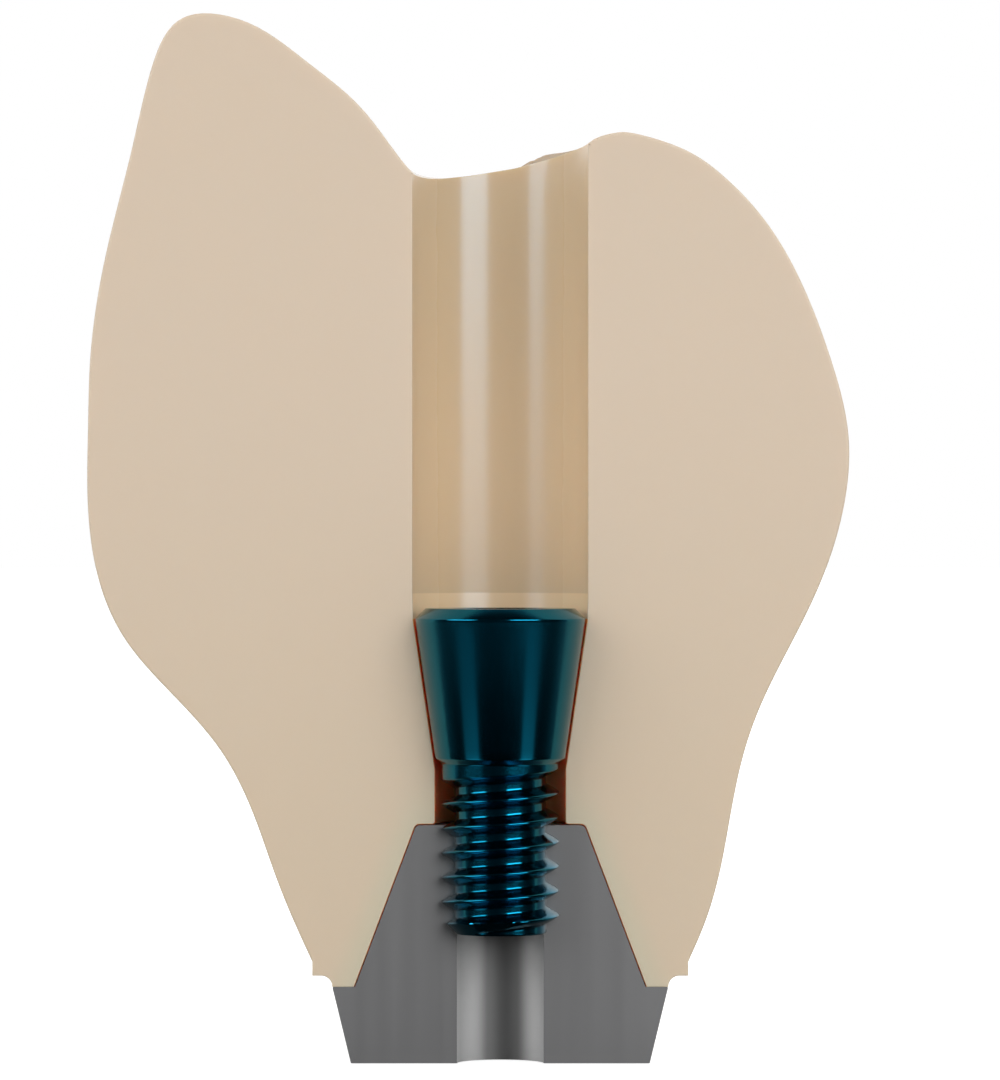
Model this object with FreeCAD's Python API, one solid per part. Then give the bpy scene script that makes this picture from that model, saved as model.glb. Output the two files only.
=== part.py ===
import FreeCAD
import Part
import math
import os

# One implant site of a screw-retained full-arch dental prosthesis, cut lengthwise in half.
#
# The tooth-coloured prosthesis and the grey multi-unit abutment are cut on the plane y = 0 and
# keep their +Y half. The prosthetic screw stays whole and holds the prosthesis on the abutment.
# Millimetres. +Z points up to the biting surface and is the screw axis, +X points to the tongue
# side, and the cut faces look along -Y. The origin is the centre of the abutment's flat base.

# Multi-unit abutment
BASE_D = 4.27
PLATFORM_D = 4.80
NECK_HEIGHT = 1.09
CONE_BASE_D = 4.15
CONE_TOP_D = 2.40
CONE_HEIGHT = 2.31
CONE_EDGE_R = 0.08

# Prosthetic screw
THREAD_D = 1.68
THREAD_PITCH = 0.35
THREAD_FLANK_DEG = 30.0
THREAD_DEPTH_RATIO = 0.54
CREST_FLAT = 0.01
THREAD_PHASE_DROP = 0.428
THREAD_RUN_IN = 0.22
SHANK_LENGTH = 2.536
TIP_CHAMFER = 0.17
NECK_RELIEF = 0.005
NECK_LENGTH = 0.27
NECK_STEP_HEIGHT = 0.076
HEAD_SMALL_D = 1.836
HEAD_D = 2.41
HEAD_CONE_HEIGHT = 1.96
HEAD_CHAMFER = 0.15
DRIVE_ACROSS_FLATS = 1.20
DRIVE_DEPTH = 1.60
DRIVE_POINT_DEPTH = 0.25

# Fits between the three pieces
SEAT_GAP = 0.04
CONE_GAP = 0.015
THREAD_GAP = 0.01
CHANNEL_CLEARANCE = 0.05
LOWER_BORE_CLEARANCE = 0.09
PILOT_STEP = 0.031
HOLE_RUNOUT = 0.03

# Prosthesis
SEAT_FLOOR = 0.99
CHANNEL_TAPER_HEIGHT = 0.37
MARGIN_COVE_R = 0.16
BAND_OVERHANG = 0.286
BAND_HEIGHT = 0.20

# Outer outline of the tooth in the cut plane and at its back. Each point gives how far it stands
# out from the margin band and how high it is above the band's top. The three lists keep step with
# one another: neck, widest part, cusp or ridge, and last the rim of the screw channel.
CHEEK_OUTLINE = [
    (0.000, 0.000), (0.290, 0.635), (0.570, 1.346), (0.842, 2.103), (1.320, 3.030),
    (2.080, 3.900), (2.711, 4.660), (3.072, 5.529), (3.212, 6.600), (3.206, 7.649),
    (3.165, 8.749), (2.943, 10.149), (2.586, 11.590), (2.335, 12.649), (2.010, 13.370),
    (1.560, 13.555), (0.811, 13.372), (0.011, 12.811), (-0.756, 12.140), (-1.425, 11.280),
]
TONGUE_OUTLINE = [
    (0.000, 0.000), (0.262, 0.620), (0.465, 1.346), (0.606, 2.103), (0.800, 2.995),
    (1.146, 3.905), (1.605, 4.806), (1.981, 5.649), (2.242, 6.602), (2.283, 7.603),
    (2.010, 8.703), (1.587, 9.775), (1.048, 10.660), (0.486, 11.246), (-0.136, 11.645),
    (-0.738, 11.832), (-1.038, 11.847), (-1.239, 11.801), (-1.362, 11.745), (-1.440, 11.690),
]
BACK_OUTLINE = [
    (0.000, 0.000), (0.170, 0.640), (0.320, 1.350), (0.440, 2.150), (0.600, 3.000),
    (0.820, 3.900), (1.060, 4.750), (1.270, 5.650), (1.410, 6.650), (1.450, 7.650),
    (1.400, 8.600), (1.270, 9.500), (1.060, 10.270), (0.810, 10.850), (0.520, 11.190),
    (0.200, 11.250), (-0.250, 11.060), (-0.700, 11.000), (-1.110, 11.140), (-1.430, 11.375),
]

# How the outline turns from the cheek side round the back to the tongue side
TURN_STEPS = 24
SQUARENESS = 0.20
SQUARE_FROM = 0
SQUARE_FULL = 6
RIM_BLEND_FROM = 15
CUSP_FROM = 14
CUSP_FULL = 16
CUSP_TURN = 0.30
CHEEK_CUSP_POWER = 7.0
TONGUE_CUSP_POWER = 1.75
CROWN_POLE_R = 0.40
CROWN_POLE_DROP = 0.13
CUT_MARGIN = 1.0

# Radii and heights that follow from the sizes above
shoulder_z = NECK_HEIGHT
abutment_top_z = shoulder_z + CONE_HEIGHT
head_cone_low_z = abutment_top_z + SEAT_FLOOR
head_cone_top_z = head_cone_low_z + HEAD_CONE_HEIGHT
head_top_z = head_cone_top_z + HEAD_CHAMFER
tip_z = head_cone_low_z - SHANK_LENGTH
neck_top_z = head_cone_low_z - NECK_STEP_HEIGHT
neck_low_z = neck_top_z - NECK_LENGTH
crest_r = THREAD_D / 2
thread_depth = THREAD_PITCH * THREAD_DEPTH_RATIO
minor_r = crest_r - thread_depth
flank_slope = math.tan(math.radians(THREAD_FLANK_DEG))
neck_r = crest_r + NECK_RELIEF
hole_r = neck_r + THREAD_GAP
pilot_r = minor_r - PILOT_STEP
channel_r = HEAD_D / 2 + CHANNEL_CLEARANCE
lower_bore_r = crest_r + LOWER_BORE_CLEARANCE
band_r = PLATFORM_D / 2 + BAND_OVERHANG
band_low_z = shoulder_z + MARGIN_COVE_R
band_top_z = band_low_z + BAND_HEIGHT
lowest_rim_rise = min(outline[-1][1] for outline in (CHEEK_OUTLINE, TONGUE_OUTLINE, BACK_OUTLINE))
crown_pole_z = band_top_z + lowest_rim_rise - CROWN_POLE_DROP


def at(radius, height):
    """Point of a turned profile. The seam of every turned solid lies in front, away from the part."""
    return FreeCAD.Vector(0, -radius, height)


def profile_edges(points, roundings):
    """Straight edges through (radius, height) points, with a tangent arc at each rounded corner."""
    vectors = [at(*p) for p in points]
    edges = []
    start = vectors[0]
    for i in range(1, len(vectors)):
        corner = vectors[i]
        rounding = roundings.get(i)
        if not rounding:
            edges.append(Part.makeLine(start, corner))
            start = corner
            continue
        back = (vectors[i - 1] - corner).normalize()
        ahead = (vectors[i + 1] - corner).normalize()
        half_turn = back.getAngle(ahead) / 2
        reach = rounding / math.tan(half_turn)
        bisector = (back + ahead).normalize()
        middle = corner + bisector * (rounding / math.sin(half_turn) - rounding)
        edges.append(Part.makeLine(start, corner + back * reach))
        edges.append(Part.Arc(corner + back * reach, middle, corner + ahead * reach).toShape())
        start = corner + ahead * reach
    edges.append(Part.makeLine(start, vectors[0]))
    return edges


def turned(points, roundings=None):
    """Solid turned about the screw axis from a closed (radius, height) profile."""
    wire = Part.Wire(profile_edges(points, roundings or {}))
    return Part.Face(wire).revolve(FreeCAD.Vector(0, 0, 0), FreeCAD.Vector(0, 0, 1), 360)


def back_half(shape):
    """The half of a shape that lies behind the cut plane."""
    box = shape.BoundBox
    reach = box.DiagonalLength + CUT_MARGIN
    front = Part.makeBox(2 * reach, reach, 2 * reach, FreeCAD.Vector(-reach, -reach, box.ZMin - reach / 2))
    return shape.cut(front)


def cone_radius(height):
    """Radius of the abutment's cone at a height, carried on past both its ends."""
    share = (height - shoulder_z) / CONE_HEIGHT
    return (CONE_BASE_D + (CONE_TOP_D - CONE_BASE_D) * share) / 2


def head_radius(height):
    """Radius of the screw head's cone at a height, carried on past both its ends."""
    share = (height - head_cone_low_z) / HEAD_CONE_HEIGHT
    return (HEAD_SMALL_D + (HEAD_D - HEAD_SMALL_D) * share) / 2


def make_abutment():
    """Abutment: flat base, flared neck, shoulder, cone, hole for the thread and pilot bore."""
    body = turned(
        [
            (0, 0),
            (BASE_D / 2, 0),
            (PLATFORM_D / 2, shoulder_z),
            (CONE_BASE_D / 2, shoulder_z),
            (CONE_TOP_D / 2, abutment_top_z),
            (0, abutment_top_z),
        ],
        {4: CONE_EDGE_R},
    )
    hole = turned(
        [
            (0, -CUT_MARGIN),
            (pilot_r, -CUT_MARGIN),
            (pilot_r, tip_z - HOLE_RUNOUT),
            (hole_r, tip_z - HOLE_RUNOUT),
            (hole_r, abutment_top_z + CUT_MARGIN),
            (0, abutment_top_z + CUT_MARGIN),
        ]
    )
    return back_half(body.cut(hole))


def make_thread_ridge():
    """Right-handed ridge of the thread, longer than the threaded length at both ends."""
    base = minor_r - CREST_FLAT
    low_z = tip_z - THREAD_PHASE_DROP
    rise = neck_low_z + THREAD_RUN_IN - low_z
    half_width = (crest_r - base) * flank_slope + CREST_FLAT / 2
    helix = Part.makeLongHelix(THREAD_PITCH, rise, minor_r)
    corners = [
        FreeCAD.Vector(base, 0, -half_width),
        FreeCAD.Vector(crest_r, 0, -CREST_FLAT / 2),
        FreeCAD.Vector(crest_r, 0, CREST_FLAT / 2),
        FreeCAD.Vector(base, 0, half_width),
    ]
    pipe = Part.BRepOffsetAPI.MakePipeShell(Part.Wire(helix.Edges))
    pipe.setFrenetMode(True)
    pipe.add(Part.makePolygon(corners + corners[:1]))
    pipe.build()
    pipe.makeSolid()
    ridge = pipe.shape()
    ridge.translate(FreeCAD.Vector(0, 0, low_z))
    return ridge


def make_drive_socket():
    """Hexagonal socket in the screw's head, with the point that its drill leaves."""
    corner_r = DRIVE_ACROSS_FLATS / math.sqrt(3)
    floor_z = head_top_z - DRIVE_DEPTH
    corners = [
        FreeCAD.Vector(corner_r * math.cos(i * math.pi / 3), corner_r * math.sin(i * math.pi / 3), floor_z)
        for i in range(6)
    ]
    hexagon = Part.Face(Part.makePolygon(corners + corners[:1]))
    socket = hexagon.extrude(FreeCAD.Vector(0, 0, DRIVE_DEPTH + CUT_MARGIN))
    point_r = DRIVE_ACROSS_FLATS / 2
    point = turned([(0, floor_z - DRIVE_POINT_DEPTH), (point_r, floor_z), (0, floor_z + DRIVE_POINT_DEPTH)])
    return socket.fuse(point)


def make_screw():
    """Prosthetic screw: chamfered conical head, short plain neck and threaded shank."""
    core = turned(
        [
            (0, tip_z),
            (minor_r, tip_z),
            (minor_r, neck_low_z),
            (neck_r, neck_low_z + (neck_r - minor_r) * flank_slope),
            (neck_r, neck_top_z),
            (HEAD_SMALL_D / 2, head_cone_low_z),
            (HEAD_D / 2, head_cone_top_z),
            (HEAD_D / 2 - HEAD_CHAMFER, head_top_z),
            (0, head_top_z),
        ]
    )
    envelope = turned(
        [
            (0, tip_z),
            (neck_r - TIP_CHAMFER, tip_z),
            (neck_r, tip_z + TIP_CHAMFER),
            (neck_r, neck_top_z),
            (0, neck_top_z),
        ]
    )
    ridge = make_thread_ridge().common(envelope)
    return core.fuse(ridge).cut(make_drive_socket())


def smooth(share):
    """Eased step from 0 to 1."""
    share = min(1.0, max(0.0, share))
    return share * share * (3 - 2 * share)


def outline_point(outline, i):
    """Distance from the screw axis and height of a point of an outline."""
    out, rise = outline[i]
    return band_r + out, band_top_z + rise


def cusp_share(turn, i):
    """Share of the cusps' height that is left at a turn away from the cut plane.

    Below the cusps it falls off evenly. At the top the cheek cusp falls off at once, so that
    nothing behind the cut stands higher than the slope that is cut, and the tongue cusp slowly.
    """
    at_top = smooth((i - CUSP_FROM) / (CUSP_FULL - CUSP_FROM))
    to_cheek = smooth((CUSP_TURN - turn) / (2 * CUSP_TURN))
    top_power = TONGUE_CUSP_POWER + (CHEEK_CUSP_POWER - TONGUE_CUSP_POWER) * to_cheek
    return abs(turn) ** (2 + (top_power - 2) * at_top)


def crown_row(angle):
    """Points up the tooth's outer surface at an angle, from 0 on the tongue side to pi at the cheek."""
    turn = math.cos(angle)
    last = len(BACK_OUTLINE) - 1
    row = []
    for i in range(last + 1):
        cheek_r, cheek_z = outline_point(CHEEK_OUTLINE, i)
        tongue_r, tongue_z = outline_point(TONGUE_OUTLINE, i)
        back_r, back_z = outline_point(BACK_OUTLINE, i)
        square = SQUARENESS * smooth((i - SQUARE_FROM) / (SQUARE_FULL - SQUARE_FROM))
        square *= smooth((last - i) / (last - RIM_BLEND_FROM))
        at_rim = smooth((i - RIM_BLEND_FROM) / (last - RIM_BLEND_FROM))
        lift = (tongue_z + cheek_z) / 2 - back_z
        tilt = (tongue_z - cheek_z) / 2
        row.append(
            FreeCAD.Vector(
                (tongue_r - cheek_r) / 2 + (tongue_r + cheek_r) / 2 * turn,
                back_r * math.sin(angle) * (1 + square * turn**2),
                back_z + lift * cusp_share(turn, i) + tilt * (at_rim * turn + (1 - at_rim) * turn**3),
            )
        )
    row.append(FreeCAD.Vector(CROWN_POLE_R * turn, CROWN_POLE_R * math.sin(angle), crown_pole_z))
    return row


def make_crown_body():
    """Solid half of the tooth and its margin band, before the screw channel is cut."""
    rows = [crown_row(math.pi * k / TURN_STEPS) for k in range(TURN_STEPS + 1)]
    for end in (rows[0], rows[-1]):
        for point in end:
            point.y = 0.0
    skin = Part.BSplineSurface()
    skin.interpolate(rows)
    u0, u1, v0, v1 = skin.bounds()
    tongue_edge = skin.uIso(u0).toShape()
    cheek_edge = skin.uIso(u1).toShape()
    neck_edge = skin.vIso(v0).toShape()
    pole_edge = skin.vIso(v1).toShape()
    band = neck_edge.extrude(FreeCAD.Vector(0, 0, -BAND_HEIGHT))
    band_low_edge = neck_edge.translated(FreeCAD.Vector(0, 0, -BAND_HEIGHT))
    low_tongue = FreeCAD.Vector(band_r, 0, band_low_z)
    low_cheek = FreeCAD.Vector(-band_r, 0, band_low_z)
    top_tongue = FreeCAD.Vector(band_r, 0, band_top_z)
    top_cheek = FreeCAD.Vector(-band_r, 0, band_top_z)
    base_line = Part.makeLine(low_cheek, low_tongue)
    pole_tongue = FreeCAD.Vector(CROWN_POLE_R, 0, crown_pole_z)
    pole_cheek = FreeCAD.Vector(-CROWN_POLE_R, 0, crown_pole_z)
    pole_line = Part.makeLine(pole_tongue, pole_cheek)
    cut_wire = Part.Wire(
        Part.__sortEdges__(
            [
                base_line,
                Part.makeLine(low_tongue, top_tongue),
                tongue_edge,
                pole_line,
                cheek_edge,
                Part.makeLine(top_cheek, low_cheek),
            ]
        )
    )
    faces = [
        skin.toShape(),
        band,
        Part.Face(cut_wire),
        Part.Face(Part.Wire([band_low_edge, base_line])),
        Part.Face(Part.Wire([pole_edge, pole_line])),
    ]
    shell = Part.makeShell(faces)
    shell.sewShape()
    body = Part.makeSolid(shell)
    if body.Volume < 0:
        body.reverse()
    return body


def make_margin_collar():
    """Coved foot of the prosthesis that stands on the abutment's shoulder."""
    foot_r = PLATFORM_D / 2
    low = at(foot_r, shoulder_z)
    middle_turn = MARGIN_COVE_R * math.cos(math.pi / 4)
    middle = at(foot_r + MARGIN_COVE_R - middle_turn, shoulder_z + middle_turn)
    high = at(foot_r + MARGIN_COVE_R, band_low_z)
    inside_top = at(foot_r + MARGIN_COVE_R, band_top_z)
    edges = [
        Part.makeLine(at(0, shoulder_z), low),
        Part.Arc(low, middle, high).toShape(),
        Part.makeLine(high, inside_top),
        Part.makeLine(inside_top, at(0, band_top_z)),
        Part.makeLine(at(0, band_top_z), at(0, shoulder_z)),
    ]
    face = Part.Face(Part.Wire(edges))
    return back_half(face.revolve(FreeCAD.Vector(0, 0, 0), FreeCAD.Vector(0, 0, 1), 360))


def make_channel():
    """Everything cut out of the prosthesis: screw channel, screw seat, lower bore and abutment socket."""
    seat_top_z = head_cone_top_z
    seat_slope = (HEAD_D - HEAD_SMALL_D) / 2 / HEAD_CONE_HEIGHT
    seat_low_z = head_cone_low_z - (HEAD_SMALL_D / 2 + SEAT_GAP - lower_bore_r) / seat_slope
    socket_top_z = abutment_top_z + CONE_GAP
    above_z = band_top_z + max(rise for out, rise in CHEEK_OUTLINE) + CUT_MARGIN
    return turned(
        [
            (0, shoulder_z - CUT_MARGIN),
            (cone_radius(shoulder_z - CUT_MARGIN) + CONE_GAP, shoulder_z - CUT_MARGIN),
            (cone_radius(socket_top_z) + CONE_GAP, socket_top_z),
            (lower_bore_r, socket_top_z),
            (lower_bore_r, seat_low_z),
            (head_radius(seat_top_z) + SEAT_GAP, seat_top_z),
            (channel_r, seat_top_z + CHANNEL_TAPER_HEIGHT),
            (channel_r, above_z),
            (0, above_z),
        ],
        {2: CONE_EDGE_R},
    )


def make_prosthesis():
    """Prosthesis: the cut tooth on its margin band, with the stepped channel for the screw."""
    return make_crown_body().fuse(make_margin_collar()).cut(make_channel()).removeSplitter()


def main():
    os.makedirs("parts", exist_ok=True)
    pieces = {
        "multi_unit_abutment": make_abutment(),
        "prosthetic_screw": make_screw(),
        "prosthesis": make_prosthesis(),
    }
    for name, shape in pieces.items():
        print(name, "valid", shape.isValid(), "solids", len(shape.Solids), "volume", round(shape.Volume, 4))
        shape.exportStep(os.path.join("parts", name + ".step"))


main()
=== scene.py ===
"""Looks of a screw-retained dental prosthesis, cut open along its screw at one implant site.

The cut faces lie in the plane y = 0 and look along -Y, and the screw's axis is Z. Sizes are in
millimetres, and they become metres where a mesh is made.
"""

import logging
import math
from collections.abc import Callable, Sequence
from dataclasses import dataclass
from enum import Enum

import bmesh
import bpy
import numpy as np
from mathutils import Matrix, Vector
from mathutils.geometry import delaunay_2d_cdt
from mathutils.kdtree import KDTree


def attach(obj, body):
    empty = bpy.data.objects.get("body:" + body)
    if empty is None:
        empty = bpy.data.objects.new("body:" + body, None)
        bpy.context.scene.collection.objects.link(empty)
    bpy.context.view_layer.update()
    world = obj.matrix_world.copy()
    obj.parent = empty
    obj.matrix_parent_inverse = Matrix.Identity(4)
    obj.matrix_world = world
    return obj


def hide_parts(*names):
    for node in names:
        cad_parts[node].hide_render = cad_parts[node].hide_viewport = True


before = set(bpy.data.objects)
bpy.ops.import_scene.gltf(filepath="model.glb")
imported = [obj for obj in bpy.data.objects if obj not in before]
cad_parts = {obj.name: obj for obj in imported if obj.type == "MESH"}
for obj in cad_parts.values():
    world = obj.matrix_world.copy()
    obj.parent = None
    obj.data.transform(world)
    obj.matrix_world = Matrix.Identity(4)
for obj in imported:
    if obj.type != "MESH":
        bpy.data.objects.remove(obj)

log = logging.getLogger("prosthesis")

MM = 0.001
TURN = 2 * math.pi
WELD = 0.0002 * MM

Profile = list[tuple[float, float]]
Colour = tuple[float, float, float]
Socket = bpy.types.NodeSocket
Vertex = bmesh.types.BMVert


def smooth(share: np.ndarray | float) -> np.ndarray | float:
    """Eased step from 0 to 1."""
    share = np.clip(share, 0.0, 1.0)
    return share * share * (3 - 2 * share)


def linear(colour: Colour) -> tuple[float, float, float, float]:
    """Turns a screen colour into the linear one that a shader takes.

    Args:
        colour: red, green and blue from 0 to 255.

    Returns:
        Linear red, green, blue and an alpha of 1.
    """
    shares = [c / 255 for c in colour]
    values = [s / 12.92 if s <= 0.04045 else ((s + 0.055) / 1.055) ** 2.4 for s in shares]
    return values[0], values[1], values[2], 1.0


def spline_samples(stations: np.ndarray, count: int) -> np.ndarray:
    """Weights of a natural cubic spline at evenly spread places.

    Args:
        stations: where the spline's points stand along it, rising from 0.
        count: how many samples are wanted.

    Returns:
        A matrix that turns the values at the stations into the values at the samples.
    """
    n = len(stations)
    gaps = np.diff(stations)
    system = np.eye(n)
    right = np.zeros((n, n))
    for i in range(1, n - 1):
        before, after = gaps[i - 1], gaps[i]
        system[i, i - 1 : i + 2] = before, 2 * (before + after), after
        right[i, i - 1 : i + 2] = 6 / before, -6 / before - 6 / after, 6 / after
    bends = np.linalg.solve(system, right)
    places = np.linspace(stations[0], stations[-1], count)
    cell = np.clip(np.searchsorted(stations, places, side="right") - 1, 0, n - 2)
    gap = gaps[cell][:, None]
    far = (places - stations[cell])[:, None] / gap
    near = 1 - far
    identity = np.eye(n)
    values = near * identity[cell] + far * identity[cell + 1]
    curve = (near**3 - near) * bends[cell] + (far**3 - far) * bends[cell + 1]
    return values + curve * gap**2 / 6


def softened(profile: Profile, roundings: dict[int, float], steps: int = 4) -> Profile:
    """Rounds chosen corners of a profile.

    Args:
        profile: (radius, height) points.
        roundings: radius of the rounding for each corner's number.
        steps: faces in each rounding.

    Returns:
        The profile with an arc's points in place of each rounded corner.
    """
    made: Profile = []
    for i, point in enumerate(profile):
        if i not in roundings:
            made.append(point)
            continue
        corner = Vector(point)
        back = (Vector(profile[i - 1]) - corner).normalized()
        ahead = (Vector(profile[i + 1]) - corner).normalized()
        half_turn = back.angle(ahead) / 2
        middle = corner + (back + ahead).normalized() * (roundings[i] / math.sin(half_turn))
        start = corner + back * (roundings[i] / math.tan(half_turn)) - middle
        end = corner + ahead * (roundings[i] / math.tan(half_turn)) - middle
        for step in range(steps + 1):
            arm = start.lerp(end, step / steps).normalized() * roundings[i]
            made.append(tuple(middle + arm))
    return made


def divided(profile: Profile, longest: float) -> Profile:
    """Adds points along a profile's straight runs so that none is longer than a given length."""
    made = [profile[0]]
    for start, end in zip(profile, profile[1:]):
        parts = max(1, math.ceil(math.dist(start, end) / longest))
        for part in range(1, parts + 1):
            share = part / parts
            made.append((start[0] + (end[0] - start[0]) * share, start[1] + (end[1] - start[1]) * share))
    return made


class Term:
    """A socket of a node tree that can be used in arithmetic."""

    def __init__(self, sheet: "NodeSheet", socket: Socket) -> None:
        """Keeps the tree's sheet and the socket."""
        self.sheet = sheet
        self.socket = socket

    def calc(self, operation: str, *others: "Term | float") -> "Term":
        """Adds a Math node that starts with this term."""
        return self.sheet.calc(operation, self, *others)

    def __add__(self, other: "Term | float") -> "Term":
        """Sum."""
        return self.calc("ADD", other)

    def __sub__(self, other: "Term | float") -> "Term":
        """Difference."""
        return self.calc("SUBTRACT", other)

    def __mul__(self, other: "Term | float") -> "Term":
        """Product."""
        return self.calc("MULTIPLY", other)

    def __truediv__(self, other: "Term | float") -> "Term":
        """Quotient."""
        return self.calc("DIVIDE", other)


class NodeSheet:
    """Writes the nodes of one tree, for shaders and for geometry."""

    def __init__(self, tree: bpy.types.NodeTree) -> None:
        """Keeps the tree."""
        self.tree = tree

    def add(self, kind: str, settings: dict[str, object] | None = None, **inputs: object) -> bpy.types.Node:
        """Adds a node.

        Args:
            kind: the node's type name.
            settings: properties of the node itself.
            inputs: a value, term or socket for each input, by its name with _ for a space.

        Returns:
            The new node.
        """
        node = self.tree.nodes.new(kind)
        for name, value in (settings or {}).items():
            setattr(node, name, value)
        for name, value in inputs.items():
            self.feed(node.inputs[name.replace("_", " ")], value)
        return node

    def feed(self, socket: Socket, value: object) -> None:
        """Links a term or socket to an input, or sets the input's own value."""
        if isinstance(value, Term):
            self.tree.links.new(value.socket, socket)
        elif isinstance(value, Socket):
            self.tree.links.new(value, socket)
        else:
            socket.default_value = value

    def term(self, socket: Socket) -> Term:
        """Makes a socket usable in arithmetic."""
        return Term(self, socket)

    def calc(self, operation: str, *values: "Term | float") -> Term:
        """Adds a Math node and returns its result."""
        node = self.add("ShaderNodeMath", {"operation": operation})
        for socket, value in zip(node.inputs, values):
            self.feed(socket, value)
        return self.term(node.outputs[0])

    def split(self, vector: Socket) -> tuple[Term, Term, Term]:
        """Splits a vector into three terms."""
        x, y, z = self.add("ShaderNodeSeparateXYZ", Vector=vector).outputs
        return self.term(x), self.term(y), self.term(z)

    def join(self, x: "Term | float", y: "Term | float", z: "Term | float") -> Socket:
        """Joins three terms into a vector."""
        return self.add("ShaderNodeCombineXYZ", X=x, Y=y, Z=z).outputs[0]

    def step(self, value: Term, low: float, high: float, to_low: float = 0.0, to_high: float = 1.0) -> Term:
        """Eased change from one value to another while a term goes from low to high."""
        settings = {"interpolation_type": "SMOOTHSTEP"}
        node = self.add("ShaderNodeMapRange", settings, Value=value)
        for name, number in (("From Min", low), ("From Max", high), ("To Min", to_low), ("To Max", to_high)):
            node.inputs[name].default_value = number
        return self.term(node.outputs[0])

    def over(self, value: Term, low: float, high: float, to_low: float = 0.0, to_high: float = 1.0) -> Term:
        """Eased change while a length in metres goes from low to high, which are in millimetres."""
        return self.step(value, low * MM, high * MM, to_low, to_high)

    def blend(self, share: "Term | float", first: object, second: object, mode: str = "MIX") -> Socket:
        """Mixes two colours. The Mix node keeps its colour sockets behind those of its other types."""
        node = self.add("ShaderNodeMix", {"data_type": "RGBA", "blend_type": mode})
        self.feed(node.inputs["Factor"], share)
        self.feed(node.inputs[6], first)
        self.feed(node.inputs[7], second)
        return node.outputs[2]

    def tinted(self, colour: Socket, tint: object) -> Socket:
        """Multiplies a colour by a tint or by another colour."""
        return self.blend(1.0, colour, tint, "MULTIPLY")

    def noise(self, place: Socket, size_mm: float, detail: float = 2.0) -> Term:
        """Noise from 0 to 1 whose patches are about a given size in millimetres."""
        node = self.add("ShaderNodeTexNoise", Vector=place, Scale=1 / (size_mm * MM), Detail=detail)
        return self.term(node.outputs["Fac"])

    def bump(self, height: Term, depth_mm: float) -> Socket:
        """Bump whose full height is a given depth in millimetres."""
        return self.add("ShaderNodeBump", Height=height, Distance=depth_mm * MM).outputs["Normal"]

    def mirrored_rays(self, path: bpy.types.NodeOutputs) -> Term:
        """1 for what metal and glass show, from a Light Path node's outputs."""
        return self.term(path["Is Glossy Ray"]).calc("MAXIMUM", self.term(path["Is Transmission Ray"]))


class Material:
    """A procedural material under construction, read in object coordinates."""

    def __init__(self, name: str) -> None:
        """Makes an empty material with a shader that is ready to be fed."""
        self.material = bpy.data.materials.new(name)
        self.material.use_nodes = True
        tree = self.material.node_tree
        tree.nodes.clear()
        self.sheet = NodeSheet(tree)
        self.shader = self.sheet.add("ShaderNodeBsdfPrincipled")
        output = self.sheet.add("ShaderNodeOutputMaterial")
        tree.links.new(self.shader.outputs["BSDF"], output.inputs["Surface"])
        self.place = self.sheet.add("ShaderNodeTexCoord").outputs["Object"]

    def stretched(self, x: float, y: float, z: float) -> Socket:
        """Object coordinates with each axis scaled, for grain that runs one way."""
        node = self.sheet.add("ShaderNodeMapping", Vector=self.place)
        node.inputs["Scale"].default_value = (x, y, z)
        return node.outputs["Vector"]

    def set(self, **inputs: object) -> None:
        """Feeds the shader's inputs, by name with _ for a space."""
        for name, value in inputs.items():
            self.sheet.feed(self.shader.inputs[name.replace("_", " ")], value)


Dress = Callable[[Material, Socket], Socket]


@dataclass(frozen=True)
class CeramicFinish:
    """Zirconia seen as one kind of surface.

    The colour runs from the margin to the biting edge, with soft cloudy patches. The fields from
    grain_mm on are the same for every kind of surface.
    """

    name: str
    foot: Colour
    crown: Colour
    roughness: float
    deep_roughness: float
    cloud: float
    cloud_mm: float
    grain_um: float
    glow: float
    glaze: float
    bending: float = 1.5
    glaze_roughness: float = 0.07
    glow_mm: float = 0.45
    glow_spread: Colour = (1.0, 0.62, 0.38)
    reflection: Colour = (1.0, 1.0, 1.0)
    matt_side: float = 0.0
    foot_height: float = 1.2
    crown_height: float = 11.0
    grain_mm: float = 0.03
    wear_mm: float = 0.35
    wear: float = 0.06
    matt_fade: float = 0.45
    matt_roughness: float = 0.3

    def material(self, dress: Dress) -> bpy.types.Material:
        """Makes the material.

        Args:
            dress: takes the material and its colour and returns the colour to use.

        Returns:
            The finished material.
        """
        made = Material(self.name)
        sheet = made.sheet
        x, _, height = sheet.split(made.place)
        foot, crown = self.foot_height, self.crown_height
        rise = sheet.over(height, foot, crown)
        colour = sheet.blend(rise, linear(self.foot), linear(self.crown))
        patches = sheet.noise(made.place, self.cloud_mm, 3.0)
        warm = (1 + self.cloud, 1.0, 1 - self.cloud, 1.0)
        cool = (1 - self.cloud, 1.0, 1 + self.cloud, 1.0)
        colour = sheet.tinted(colour, sheet.blend(patches, cool, warm))
        grain = sheet.noise(made.place, self.grain_mm)
        worn = sheet.noise(made.place, self.wear_mm, 3.0)
        shine = sheet.over(height, foot, crown, self.deep_roughness, self.roughness)
        if self.matt_side > 0:
            aside, matt_from = x.calc("ABSOLUTE"), self.matt_side - self.matt_fade
            shine = shine + sheet.over(aside, matt_from, self.matt_side, 0.0, self.matt_roughness)
        made.set(
            Roughness=shine + (worn - 0.5) * self.wear,
            Normal=sheet.bump(grain, self.grain_um * MM),
            IOR=self.bending,
            Specular_Tint=(*self.reflection, 1.0),
            Subsurface_Weight=self.glow,
            Subsurface_Radius=self.glow_spread,
            Subsurface_Scale=self.glow_mm * MM,
            Coat_Weight=self.glaze,
            Coat_Roughness=self.glaze_roughness,
        )
        made.set(Base_Color=dress(made, colour))
        return made.material


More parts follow.
